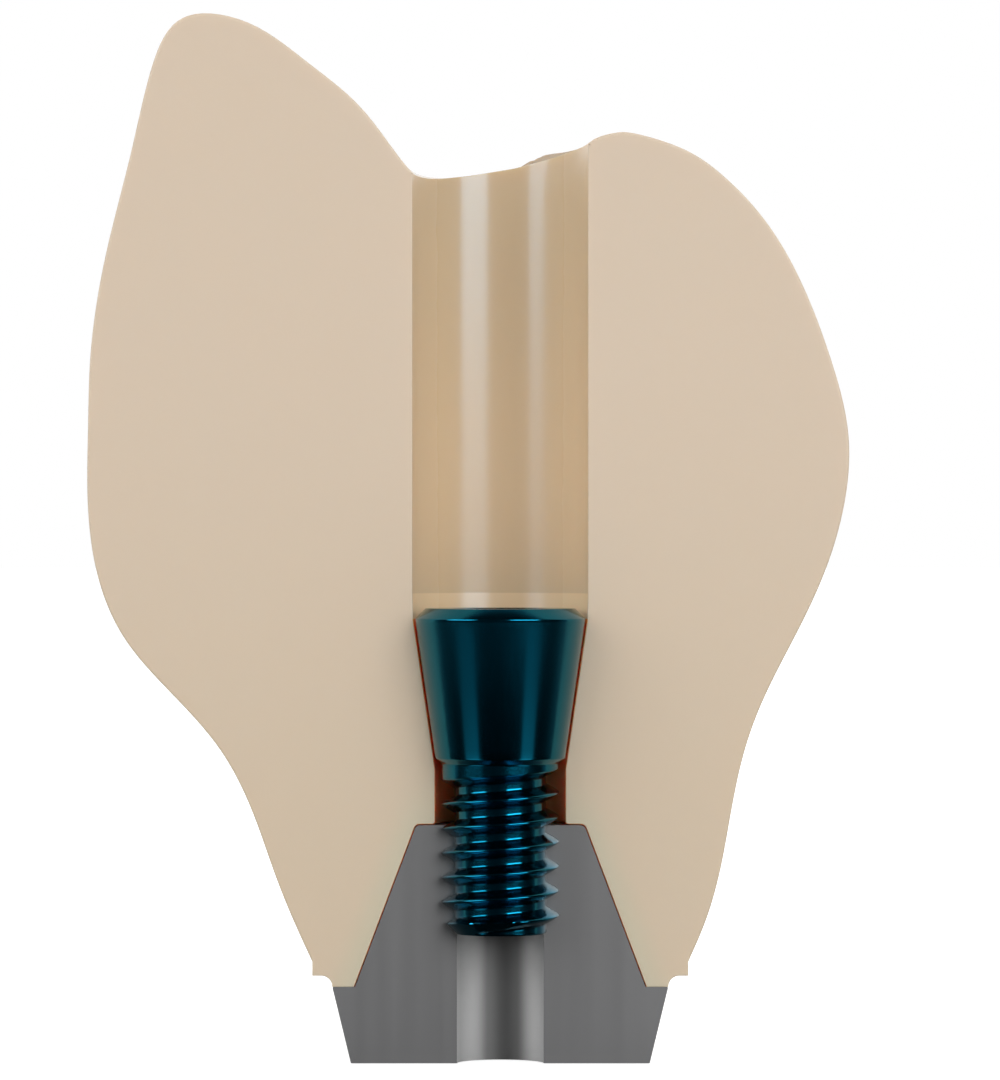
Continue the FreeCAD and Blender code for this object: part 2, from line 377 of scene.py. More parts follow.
@dataclass(frozen=True)
class MetalFinish:
    """Titanium seen as one kind of surface, with fine marks from the lathe or the saw.

    The roughness given is that of the piece's dull part. Below polish_low and above polished_from
    the surface is smoother by the polish.
    """

    name: str
    colour: Colour
    edge: Colour
    roughness: float
    mark_mm: float
    mark_um: float
    upright: bool
    polish: float = 0.0
    polish_low: float = 0.0
    polish_high: float = 1.0
    polished_from: float = 100.0
    metal: float = 1.0
    # Painted shade: a darkened band down the middle of a bore.
    shaded_from: float = 0.0
    shaded_to: float = 0.0
    shaded_middle: float = 0.0
    shade_depth: float = 1.0
    upright_stretch: tuple[float, float, float] = (1.0, 1.0, 0.02)
    round_stretch: tuple[float, float, float] = (0.03, 0.03, 1.0)
    fine_mm: float = 0.02
    edge_blend: float = 0.35
    mark_shade: float = 0.02
    mark_dullness: float = 0.05
    fine_share: float = 0.3
    polish_edge: float = 0.03

    def material(self) -> bpy.types.Material:
        """Makes the material, with marks that run up the piece or round it."""
        made = Material(self.name)
        sheet = made.sheet
        grain = made.stretched(*(self.upright_stretch if self.upright else self.round_stretch))
        marks = sheet.noise(grain, self.mark_mm, 3.0)
        fine = sheet.noise(made.place, self.fine_mm)
        facing = sheet.term(sheet.add("ShaderNodeLayerWeight", Blend=self.edge_blend).outputs["Facing"])
        base = sheet.blend(facing, linear(self.colour), linear(self.edge))
        dark, bright = 1 - self.mark_shade, 1 + self.mark_shade
        shade = sheet.blend(marks, (dark, dark, dark, 1.0), (bright, bright, bright, 1.0))
        x, _, height = sheet.split(made.place)
        # Painted shade: a band round shaded_middle is darkened by shade_depth, where the bore's reflections
        # are dark.
        if self.shaded_to > self.shaded_from:
            aside = (x - self.shaded_middle * MM).calc("ABSOLUTE")
            middle = sheet.over(aside, self.shaded_from, self.shaded_to, self.shade_depth, 1.0)
            base = sheet.tinted(base, sheet.join(middle, middle, middle))
        polished_from = self.polished_from
        worked = sheet.over(height, self.polish_low, self.polish_high)
        worked = worked * sheet.over(height, polished_from - self.polish_edge, polished_from, 1.0, 0.0)
        shine = worked * self.polish + (self.roughness - self.polish)
        relief = marks * (1 - self.fine_share) + fine * self.fine_share
        made.set(
            Base_Color=sheet.tinted(base, shade),
            Metallic=self.metal,
            Roughness=(marks - 0.5) * self.mark_dullness + shine,
            Normal=sheet.bump(relief, self.mark_um * MM),
        )
        return made.material


class Surface(Enum):
    """Kinds of surface on the cut pieces, in the order of a piece's material slots."""

    CUT = 0
    OUTSIDE = 1
    CHANNEL = 2
    CREVICE = 3


class PieceBuilder:
    """Collects the faces of one piece in millimetres and makes its object."""

    ROW_SPACING = 0.866
    RIM_CLEARANCE = 0.6

    def __init__(self) -> None:
        """Starts with no faces."""
        self.mesh = bmesh.new()

    def points(self, rows: np.ndarray) -> list[Vertex]:
        """Adds points, given in millimetres."""
        return [self.mesh.verts.new(Vector(p) * MM) for p in rows]

    def grid(
        self, columns: Sequence[np.ndarray], surfaces: Sequence[Surface], closed: bool = False
    ) -> list[list[Vertex]]:
        """Adds a grid of faces.

        Args:
            columns: points down each column, all with the same count.
            surfaces: the kind of surface below each row of points.
            closed: whether the last column meets the first.

        Returns:
            The points made, column by column.
        """
        made = [self.points(c) for c in columns]
        pairs = list(zip(made, made[1:]))
        if closed:
            pairs.append((made[-1], made[0]))
        for left, right in pairs:
            for j, surface in enumerate(surfaces):
                below = (j + 1) % len(left)
                face = self.mesh.faces.new((left[j], right[j], right[below], left[below]))
                face.material_index = surface.value
        return made

    def cap(self, loop: Sequence[Vertex], surface: Surface, spacing: float) -> None:
        """Closes a loop of points that lies in the cut plane with even triangles.

        Args:
            loop: the points in order.
            surface: the kind of surface of the new faces.
            spacing: distance between the points that are added inside the loop.
        """
        rim = [Vector((v.co.x, v.co.z)) / MM for v in loop]
        low = Vector((min(p.x for p in rim), min(p.y for p in rim)))
        high = Vector((max(p.x for p in rim), max(p.y for p in rim)))
        tree = KDTree(len(rim))
        for i, p in enumerate(rim):
            tree.insert((*p, 0.0), i)
        tree.balance()
        inner = []
        across = int((high.x - low.x) / spacing)
        up = int((high.y - low.y) / (spacing * self.ROW_SPACING))
        for j in range(1, up):
            for i in range(across + 1):
                p = low + Vector(((i + 0.5 * (j % 2)) * spacing, j * spacing * self.ROW_SPACING))
                if tree.find((*p, 0.0))[2] > spacing * self.RIM_CLEARANCE:
                    inner.append(p)
        order = list(range(len(rim)))
        points, _, faces, origins, _, _ = delaunay_2d_cdt(rim + inner, [], [order], 1, 1e-6)
        used = sorted({i for face in faces for i in face})
        made = {}
        for i in used:
            known = [o for o in origins[i] if o < len(loop)]
            place = (points[i].x * MM, 0.0, points[i].y * MM)
            made[i] = loop[known[0]] if known else self.mesh.verts.new(place)
        for face in faces:
            new = self.mesh.faces.new([made[i] for i in face])
            new.material_index = surface.value

    def add_mesh(self, mesh: bpy.types.Mesh, surface: Surface) -> None:
        """Takes in a mesh that is already in metres, and removes it."""
        known = len(self.mesh.faces)
        self.mesh.from_mesh(mesh)
        self.mesh.faces.ensure_lookup_table()
        for face in self.mesh.faces[known:]:
            face.material_index = surface.value
        bpy.data.meshes.remove(mesh)

    def weld(self) -> None:
        """Joins points that lie together, and removes what collapses."""
        bmesh.ops.remove_doubles(self.mesh, verts=self.mesh.verts, dist=WELD)
        bmesh.ops.dissolve_degenerate(self.mesh, edges=self.mesh.edges, dist=WELD / 4)

    def close_flat_ends(self, surface: Surface) -> None:
        """Fills the open loops that lie in the cut plane."""
        edges = [e for e in self.mesh.edges if e.is_boundary]
        made = bmesh.ops.holes_fill(self.mesh, edges=edges, sides=0)["faces"]
        for face in made:
            face.material_index = surface.value
        bmesh.ops.triangulate(self.mesh, faces=made)

    def finish(
        self, name: str, materials: Sequence[bpy.types.Material], sharp_deg: float
    ) -> bpy.types.Object:
        """Makes the object.

        Args:
            name: the object's name.
            materials: one for each kind of surface used.
            sharp_deg: edges that turn by more than this stay sharp.

        Returns:
            The object, at the origin.
        """
        bmesh.ops.recalc_face_normals(self.mesh, faces=self.mesh.faces)
        open_edges = sum(1 for e in self.mesh.edges if not e.is_manifold)
        mesh = bpy.data.meshes.new(name)
        self.mesh.to_mesh(mesh)
        self.mesh.free()
        for material in materials:
            mesh.materials.append(material)
        mesh.shade_smooth()
        mesh.set_sharp_from_angle(angle=math.radians(sharp_deg))
        piece = bpy.data.objects.new(name, mesh)
        bpy.context.scene.collection.objects.link(piece)
        log.info("%s: %d faces, %d open edges", name, len(mesh.polygons), open_edges)
        return piece


@dataclass(frozen=True)
class ThreadSize:
    """Sizes of the right-handed thread that the screw and the abutment share."""

    crest_radius: float = 0.84
    pitch: float = 0.35
    depth: float = 0.189
    crest_softness: float = 0.023
    root_softness: float = 0.012
    flank_deg: float = 28.5
    phase_height: float = 1.426
    rows_a_turn: int = 32
    columns_a_turn: int = 120

    @property
    def root_radius(self) -> float:
        """Radius at the bottom of the thread."""
        return self.crest_radius - self.depth

    @property
    def slope(self) -> float:
        """Height that a flank takes for each millimetre of radius."""
        return math.tan(math.radians(self.flank_deg))


class ThreadTree:
    """Geometry nodes that wind a thread's surface round the Z axis.

    A flat grid is rolled up so that its rows follow the helix. Rows past either end are drawn back
    to that end and welded, which cuts the thread off square.
    """

    COUNTS = ("Columns", "Rows")
    SIZES = (
        "Turns", "Share of a turn", "Pitch", "Phase height", "Low end", "High end", "Crest radius",
        "Root radius", "Flank slope", "Crest softness", "Root softness", "Neck radius",
        "Groove turns", "Tip radius", "Closed tip",
    )
    CROWDING = 0.75
    RUN_OUT = 0.35
    SQUARE_END = 0.04
    FIRST_ROW = 0.5 / 64

    def __init__(self) -> None:
        """Builds the tree once, for every thread of the object."""
        self.tree = bpy.data.node_groups.new("thread_surface", "GeometryNodeTree")
        inputs = dict.fromkeys(self.COUNTS, "NodeSocketInt") | dict.fromkeys(self.SIZES, "NodeSocketFloat")
        inputs["Material"] = "NodeSocketMaterial"
        for name, kind in inputs.items():
            self.tree.interface.new_socket(name, in_out="INPUT", socket_type=kind)
        self.tree.interface.new_socket("Geometry", in_out="OUTPUT", socket_type="NodeSocketGeometry")
        self.sheet = NodeSheet(self.tree)
        self.given = self.sheet.add("NodeGroupInput").outputs
        self.build()

    def value(self, name: str) -> Term:
        """One of the tree's inputs."""
        return self.sheet.term(self.given[name])

    def build(self) -> None:
        """Writes the nodes."""
        sheet = self.sheet
        grid = sheet.add("GeometryNodeMeshGrid", Size_X=1.0, Size_Y=1.0)
        sheet.feed(grid.inputs["Vertices X"], self.value("Columns"))
        sheet.feed(grid.inputs["Vertices Y"], self.value("Rows"))
        across, along, _ = sheet.split(sheet.add("GeometryNodeInputPosition").outputs[0])
        turned = (across + 0.5) * self.value("Share of a turn")
        level = (along + 0.5) * self.value("Turns")
        wave = (level * (2 * TURN)).calc("SINE") * (self.CROWDING / (2 * TURN))
        raw = (level - wave + turned) * self.value("Pitch") + self.value("Phase height")
        height = raw.calc("MAXIMUM", self.value("Low end")).calc("MINIMUM", self.value("High end"))
        phase = (height - self.value("Phase height")) / self.value("Pitch") - turned
        away = phase.calc("WRAP", 0.5, -0.5).calc("ABSOLUTE") * self.value("Pitch")
        soft = self.value("Crest softness")
        fall = ((away * away + soft * soft).calc("SQRT") - soft) / self.value("Flank slope")
        flank = self.value("Crest radius") - fall
        thread = flank.calc("SMOOTH_MAX", self.value("Root radius"), self.value("Root softness"))
        past_groove = phase.calc("FLOOR") + turned - self.value("Groove turns")
        run_out = sheet.step(past_groove, 0.0, self.RUN_OUT)
        square_end = sheet.step(height - self.value("High end"), -self.SQUARE_END, 0.0)
        filled = run_out.calc("MAXIMUM", square_end)
        neck = (self.value("Neck radius") - self.value("Root radius")) * filled + self.value("Root radius")
        chamfer = height - self.value("Low end") + self.value("Tip radius")
        body = thread.calc("MAXIMUM", neck).calc("MINIMUM", chamfer)
        past_first_row = level.calc("GREATER_THAN", self.FIRST_ROW)
        kept = past_first_row.calc("MAXIMUM", sheet.calc("SUBTRACT", 1.0, self.value("Closed tip")))
        radius = body * kept
        angle = turned * TURN
        rolled = sheet.join(
            radius * angle.calc("COSINE") * MM,
            radius * angle.calc("SINE") * MM,
            height * MM,
        )
        placed = sheet.add("GeometryNodeSetPosition", Geometry=grid.outputs["Mesh"], Position=rolled)
        welded = sheet.add("GeometryNodeMergeByDistance", Geometry=placed.outputs[0], Distance=WELD)
        dressed = sheet.add("GeometryNodeSetMaterial", Geometry=welded.outputs[0])
        sheet.feed(dressed.inputs["Material"], self.value("Material"))
        real = sheet.add("GeometryNodeRealizeInstances", Geometry=dressed.outputs[0])
        output = sheet.add("NodeGroupOutput")
        sheet.feed(output.inputs["Geometry"], real.outputs[0])

    def wound(
        self, size: ThreadSize, share: float, gap: float, high: float, others: dict[str, object]
    ) -> bpy.types.Mesh:
        """Winds one thread from the sizes that all threads share.

        Args:
            size: the thread's sizes.
            share: how much of a turn it covers.
            gap: how much wider it is than the screw's thread.
            high: height of its upper end.
            others: the tree's other inputs, by name.

        Returns:
            The thread's surface as a plain mesh, in metres.
        """
        turns = math.ceil((high - size.phase_height) / size.pitch)
        shared = {
            "Columns": int(size.columns_a_turn * share) + 1,
            "Rows": turns * size.rows_a_turn + 1,
            "Turns": float(turns),
            "Share of a turn": share,
            "Pitch": size.pitch,
            "Phase height": size.phase_height,
            "High end": high,
            "Crest radius": size.crest_radius + gap,
            "Root radius": size.root_radius + gap,
            "Flank slope": size.slope,
            "Crest softness": size.crest_softness,
            "Root softness": size.root_softness,
        }
        return self.mesh(shared | others)

    def mesh(self, values: dict[str, object]) -> bpy.types.Mesh:
        """Runs the tree on a carrier object.

        Args:
            values: a value for each of the tree's inputs, by name.

        Returns:
            The thread's surface as a plain mesh, in metres.
        """
        carrier = bpy.data.objects.new("thread_carrier", bpy.data.meshes.new("thread_carrier"))
        bpy.context.scene.collection.objects.link(carrier)
        modifier = carrier.modifiers.new("thread", "NODES")
        modifier.node_group = self.tree
        for item in self.tree.interface.items_tree:
            if item.item_type == "SOCKET" and item.in_out == "INPUT":
                modifier[item.identifier] = values[item.name]
        graph = bpy.context.evaluated_depsgraph_get()
        made = bpy.data.meshes.new_from_object(carrier.evaluated_get(graph))
        carrier.modifiers.remove(modifier)
        empty = carrier.data
        bpy.data.objects.remove(carrier)
        bpy.data.meshes.remove(empty)
        return made


@dataclass
class ProstheticScrew:
    """The anodised screw: conical head, plain neck and threaded shank."""

    thread: ThreadSize
    tree: ThreadTree
    tip: float = 1.854
    neck_low: float = 4.044
    neck_top: float = 4.285
    run_in: float = 0.22
    groove_turns: float = 7.0
    neck_radius: float = 0.845
    tip_chamfer: float = 0.215
    head_low: float = 4.362
    head_high: float = 6.35
    head_top: float = 6.50
    head_small_radius: float = 0.932
    head_radius: float = 1.219
    head_chamfer: float = 0.15
    socket_flats: float = 1.20
    socket_lead_in: float = 0.05
    socket_depth: float = 1.60
    socket_point: float = 0.25
    socket_fillet: float = 0.02
    top_face_width: float = 0.1
    neck_rounding: float = 0.03
    head_low_rounding: float = 0.035
    head_high_rounding: float = 0.018
    head_top_rounding: float = 0.014
    longest_face: float = 0.12

    def finish(self) -> bpy.types.Material:
        """Deep blue-green anodised titanium."""
        return MetalFinish(
            name="anodised_titanium",
            colour=(8, 110, 140),
            edge=(42, 92, 96),
            roughness=0.23,
            mark_mm=0.05,
            mark_um=0.02,
            upright=True,
            polish=0.08,
            polish_low=4.6,
            polish_high=6.25,
            polished_from=6.33,
        ).material()

    def shank(self, material: bpy.types.Material) -> bpy.types.Mesh:
        """Threaded shank from the flat tip to the plain neck."""
        others = {
            "Low end": self.tip,
            "Neck radius": self.neck_radius,
            "Groove turns": self.groove_turns,
            "Tip radius": self.neck_radius - self.tip_chamfer,
            "Closed tip": 1.0,
            "Material": material,
        }
        return self.tree.wound(self.thread, 1.0, 0.0, self.neck_low + self.run_in, others)

    def head_columns(self) -> tuple[list[np.ndarray], int]:
        """Points up the neck, round the head and down into the driver socket.

        Returns:
            The columns, one for each step round the axis, and the count of points in each.
        """
        flat = self.socket_flats / 2
        top_inner = flat + self.socket_lead_in
        floor = self.head_top - self.socket_depth
        outside = softened(
            [
                (self.neck_radius, self.neck_low + self.run_in),
                (self.neck_radius, self.neck_top),
                (self.head_small_radius, self.head_low),
                (self.head_radius, self.head_high),
                (self.head_radius - self.head_chamfer, self.head_top),
                (top_inner + self.top_face_width, self.head_top),
            ],
            {
                1: self.neck_rounding,
                2: self.head_low_rounding,
                3: self.head_high_rounding,
                4: self.head_top_rounding,
            },
        )
        outside = divided(outside, self.longest_face)
        round_part = [(r, z, 0.0) for r, z in outside]
        hexagonal = [
            (top_inner, self.head_top, 0.6),
            (flat, self.head_top - self.socket_lead_in, 1.0),
            (flat, floor + self.socket_fillet, 1.0),
            (flat - self.socket_fillet, floor, 1.0),
            (flat / 2, floor - self.socket_point / 2, 0.3),
            (0.0, floor - self.socket_point, 0.0),
        ]
        profile = round_part + hexagonal
        columns = []
        count = self.thread.columns_a_turn
        for k in range(count):
            angle = TURN * k / count
            corner = 1 / math.cos(math.radians((math.degrees(angle) % 60) - 30))
            column = []
            for radius, height, squareness in profile:
                reach = radius * (1 + (corner - 1) * squareness)
                column.append((reach * math.cos(angle), reach * math.sin(angle), height))
            columns.append(np.array(column))
        return columns, len(profile)

    def build(self) -> bpy.types.Object:
        """Makes the screw."""
        material = self.finish()
        builder = PieceBuilder()
        builder.add_mesh(self.shank(material), Surface.CUT)
        columns, rows = self.head_columns()
        builder.grid(columns, [Surface.CUT] * (rows - 1), closed=True)
        builder.weld()
        return builder.finish("anodised_screw", [material], 32.0)


@dataclass
class Abutment:
    """The cut half of the grey multi-unit abutment, with its inner thread."""

    thread: ThreadSize
    tree: ThreadTree
    base_radius: float = 2.135
    platform_radius: float = 2.40
    shoulder: float = 1.09
    cone_base_radius: float = 2.075
    cone_top_radius: float = 1.20
    top: float = 3.40
    cone_rounding: float = 0.08
    thread_bottom: float = 1.851
    thread_bottom_radius: float = 0.634
    thread_gap: float = 0.003
    endless_turns: float = 100.0
    bore_radius: float = 0.62
    edge_rounding: float = 0.015
    mouth_width: float = 0.2
    height_tolerance: float = 1e-4
    longest_face: float = 0.12

    def finishes(self) -> list[bpy.types.Material]:
        """Sawn face, turned outside and bore wall."""
        cut = MetalFinish(
            name="cut_titanium",
            colour=(151, 151, 152),
            edge=(156, 156, 156),
            roughness=0.42,
            mark_mm=0.16,
            mark_um=0.05,
            upright=True,
        )
        turned = MetalFinish(
            name="turned_titanium",
            colour=(190, 190, 190),
            edge=(205, 205, 205),
            roughness=0.34,
            mark_mm=0.03,
            mark_um=0.4,
            upright=False,
        )
        # Painted shade: the bore's colour is darkened in its middle and kept bright at its sides, standing
        # in for its dark middle and bright side reflections.
        bored = MetalFinish(
            name="bored_titanium",
            colour=(212, 212, 212),
            edge=(212, 212, 212),
            roughness=0.5,
            mark_mm=0.03,
            mark_um=0.2,
            upright=False,
            metal=0.6,
            shaded_from=0.20,
            shaded_to=0.56,
            shaded_middle=0.03,
            shade_depth=0.15,
        )
        # Painted light: a lighter grey than the other titanium faces, so that the inner thread's shaded
        # walls and the small wedges beside the screw read as lit.
        threaded = MetalFinish(
            name="threaded_titanium",
            colour=(245, 245, 245),
            edge=(245, 245, 245),
            roughness=0.4,
            mark_mm=0.03,
            mark_um=0.1,
            upright=False,
        )
        return [finish.material() for finish in (cut, turned, bored, threaded)]

    def inner_thread(self, material: bpy.types.Material) -> bpy.types.Mesh:
        """Inner thread over the half turn behind the cut plane. Its groove runs on past the top."""
        others = {
            "Low end": self.thread_bottom,
            "Neck radius": self.thread.root_radius + self.thread_gap,
            "Groove turns": self.endless_turns,
            "Tip radius": self.thread_bottom_radius,
            "Closed tip": 0.0,
            "Material": material,
        }
        return self.tree.wound(self.thread, 0.5, self.thread_gap, self.top, others)

    def ring(self, mesh: bpy.types.Mesh, height: float) -> list[Vector]:
        """Open edge of the inner thread at a height, in millimetres, from the right round to the left."""
        found = [v.co / MM for v in mesh.vertices if abs(v.co.z / MM - height) < self.height_tolerance]
        return sorted(found, key=lambda p: math.atan2(max(p.y, 0.0), p.x))

    def columns(self, mouth: list[Vector], seat: list[Vector]) -> tuple[list[np.ndarray], list[Surface]]:
        """Points from the thread's mouth out over the abutment and up the bore to the thread's bottom.

        Args:
            mouth: the thread's upper edge.
            seat: the thread's lower edge.

        Returns:
            The columns and the kind of surface below each row.
        """
        outside = softened(
            [
                (self.cone_top_radius - self.mouth_width, self.top),
                (self.cone_top_radius, self.top),
                (self.cone_base_radius, self.shoulder),
                (self.platform_radius, self.shoulder),
                (self.base_radius, 0.0),
                (self.bore_radius, 0.0),
            ],
            {1: self.cone_rounding, 3: self.edge_rounding, 4: self.edge_rounding},
        )
        outside = divided(outside, self.longest_face)
        bore_ends = [(self.bore_radius, 0.0), (self.bore_radius, self.thread_bottom)]
        bore = divided(bore_ends, self.longest_face)[1:]
        surfaces = [Surface.OUTSIDE] * len(outside) + [Surface.CHANNEL] * (len(bore) + 1)
        columns = []
        steps = len(mouth) - 1
        for k, (high, low) in enumerate(zip(mouth, seat)):
            angle = math.pi * k / steps
            direction = (math.cos(angle), math.sin(angle) if 0 < k < steps else 0.0)
            profile = outside + bore
            turned = [(r * direction[0], r * direction[1], z) for r, z in profile]
            columns.append(np.array([tuple(high), *turned, tuple(low)]))
        return columns, surfaces[: len(columns[0]) - 1]

    def build(self) -> bpy.types.Object:
        """Makes the abutment."""
        materials = self.finishes()
        inner = self.inner_thread(materials[3])
        mouth = self.ring(inner, self.top)
        seat = self.ring(inner, self.thread_bottom)
        builder = PieceBuilder()
        builder.add_mesh(inner, Surface.CREVICE)
        columns, surfaces = self.columns(mouth, seat)
        builder.grid(columns, surfaces)
        builder.weld()
        builder.close_flat_ends(Surface.CUT)
        return builder.finish("cut_abutment", materials, 32.0)


@dataclass(frozen=True)
class ToothForm:
    """Outer form of the tooth, from its margin band to the mouth of the screw channel.

    Each outline gives how far a point stands out from the band and how high it is above the band.
    """

    band_radius: float = 2.686
    band_top: float = 1.45
    squareness: float = 0.20
    square_full: int = 6
    rim_from: int = 15
    cusp_from: int = 14
    cusp_full: int = 16
    cusp_turn: float = 0.30
    cheek_cusp_power: float = 7.0
    tongue_cusp_power: float = 1.75
    ridge_middle: tuple[float, float] = (0.44, 2.18)
    ridge_spread: tuple[float, float] = (0.35, 0.50)
    ridge_height: float = 0.17
    carved_from: tuple[float, float] = (11.6, 0.5)
    carved_fade: float = 0.8
    rim_kept: float = 0.05
    rim_fade: float = 0.45
    pit: tuple[float, float] = (0.10, 2.25)
    pit_depth: float = 0.16
    pit_spread: float = 0.42
    groove_ends: tuple[tuple[float, float], ...] = ((-1.75, 2.95), (1.45, 2.75), (0.05, 1.20))
    groove_depth: float = 0.20
    groove_width: float = 0.13
    groove_fall: float = 0.6
    pole_radius: float = 0.40
    pole_drop: float = 0.13
    cheek: tuple[tuple[float, float], ...] = (
        (0.000, 0.000), (0.290, 0.635), (0.570, 1.346), (0.842, 2.103), (1.320, 3.030),
        (2.080, 3.900), (2.711, 4.660), (3.072, 5.529), (3.212, 6.600), (3.206, 7.649),
        (3.165, 8.749), (2.943, 10.149), (2.586, 11.590), (2.335, 12.649), (2.010, 13.370),
        (1.560, 13.555), (0.811, 13.372), (0.011, 12.811), (-0.756, 12.140), (-1.425, 11.280),
    )
    tongue: tuple[tuple[float, float], ...] = (
        (0.000, 0.000), (0.262, 0.620), (0.465, 1.346), (0.606, 2.103), (0.800, 2.995),
        (1.146, 3.905), (1.605, 4.806), (1.981, 5.649), (2.242, 6.602), (2.283, 7.603),
        (2.010, 8.703), (1.587, 9.775), (1.048, 10.660), (0.486, 11.246), (-0.136, 11.645),
        (-0.738, 11.832), (-1.038, 11.847), (-1.239, 11.801), (-1.362, 11.745), (-1.440, 11.690),
    )
    back: tuple[tuple[float, float], ...] = (
        (0.000, 0.000), (0.170, 0.640), (0.320, 1.350), (0.440, 2.150), (0.600, 3.000),
        (0.820, 3.900), (1.060, 4.750), (1.270, 5.650), (1.410, 6.650), (1.450, 7.650),
        (1.400, 8.600), (1.270, 9.500), (1.060, 10.270), (0.810, 10.850), (0.520, 11.190),
        (0.200, 11.250), (-0.250, 11.060), (-0.700, 11.000), (-1.110, 11.140), (-1.430, 11.375),
    )
    samples: int = 3000

    def station_points(self, angle: float) -> np.ndarray:
        """Points of the outline at an angle, 0 on the tongue side and pi at the cheek."""
        turn = math.cos(angle)
        last = len(self.back) - 1
        i = np.arange(last + 1)
        start = np.array([self.band_radius, self.band_top])
        cheek_r, cheek_z = (np.array(self.cheek) + start).T
        tongue_r, tongue_z = (np.array(self.tongue) + start).T
        back_r, back_z = (np.array(self.back) + start).T
        square = self.squareness * smooth(i / self.square_full)
        square = square * smooth((last - i) / (last - self.rim_from))
        at_rim = smooth((i - self.rim_from) / (last - self.rim_from))
        lift = (tongue_z + cheek_z) / 2 - back_z
        tilt = (tongue_z - cheek_z) / 2
        x = (tongue_r - cheek_r) / 2 + (tongue_r + cheek_r) / 2 * turn
        y = back_r * math.sin(angle) * (1 + square * turn**2)
        at_top = smooth((i - self.cusp_from) / (self.cusp_full - self.cusp_from))
        to_cheek = smooth((self.cusp_turn - turn) / (2 * self.cusp_turn))
        top_power = self.tongue_cusp_power + (self.cheek_cusp_power - self.tongue_cusp_power) * to_cheek
        cusp_share = abs(turn) ** (2 + (top_power - 2) * at_top)
        z = back_z + lift * cusp_share + tilt * (at_rim * turn + (1 - at_rim) * turn**3)
        pole_z = self.band_top + min(o[-1][1] for o in (self.cheek, self.tongue, self.back)) - self.pole_drop
        pole = (self.pole_radius * turn, self.pole_radius * math.sin(angle), pole_z)
        return np.vstack([np.stack([x, y, z], axis=1), pole])

    def weights(self) -> np.ndarray:
        """Spline weights that all columns share, spaced by the outlines' mean length."""
        ends = [self.station_points(a) for a in (0.0, math.pi / 2, math.pi)]
        lengths = np.mean([np.linalg.norm(np.diff(e, axis=0), axis=1) for e in ends], axis=0)
        return spline_samples(np.concatenate([[0.0], np.cumsum(lengths)]), self.samples)

    def column(self, weights: np.ndarray, angle: float, stop_radius: float, rows: int) -> np.ndarray:
        """Points up the tooth at an angle, ending where it meets the screw channel.

        Args:
            weights: what weights() gives.
            angle: 0 on the tongue side, pi at the cheek.
            stop_radius: radius of the channel.
            rows: how many points are wanted.

        Returns:
            The points, from the band's top to the channel's rim.
        """
        curve = weights @ self.station_points(angle)
        radius = np.hypot(curve[:, 0], curve[:, 1])
        inside = len(radius) - 1 - int(np.argmax(radius[::-1] >= stop_radius))
        near, far = radius[inside], radius[inside + 1]
        stop = inside + (near - stop_radius) / (near - far)
        places = np.append(np.linspace(0.0, stop - 1.0, rows - 1), stop)
        known = np.arange(len(curve))
        points = np.stack([np.interp(places, known, curve[:, axis]) for axis in range(3)], axis=1)
        return self.carved(points, stop_radius)

    def carved(self, points: np.ndarray, rim_radius: float) -> np.ndarray:
        """Cuts the grooves of the biting surface behind the screw channel and swells its inner ridge."""
        x, y, z = points.T
        height_from, depth_from = self.carved_from
        on_top = smooth((z - height_from) / self.carved_fade) * smooth((y - depth_from) / self.carved_fade)
        clear_of_rim = smooth((np.hypot(x, y) - rim_radius - self.rim_kept) / self.rim_fade)
        pit = np.array(self.pit)
        from_pit = np.hypot(x - pit[0], y - pit[1]) / self.pit_spread
        depth = self.pit_depth * np.exp(-(from_pit**2))
        for end in self.groove_ends:
            run = np.array(end) - pit
            share = np.clip(((x - pit[0]) * run[0] + (y - pit[1]) * run[1]) / (run @ run), 0, 1)
            aside = np.hypot(x - pit[0] - share * run[0], y - pit[1] - share * run[1])
            groove = self.groove_depth * (1 - self.groove_fall * share)
            depth = np.maximum(depth, groove * np.exp(-((aside / self.groove_width) ** 2)))
        middle, spread = self.ridge_middle, self.ridge_spread
        swell = np.exp(-(((x - middle[0]) / spread[0]) ** 2) - ((y - middle[1]) / spread[1]) ** 2)
        points[:, 2] = z + (self.ridge_height * swell - depth * on_top) * clear_of_rim
        return points


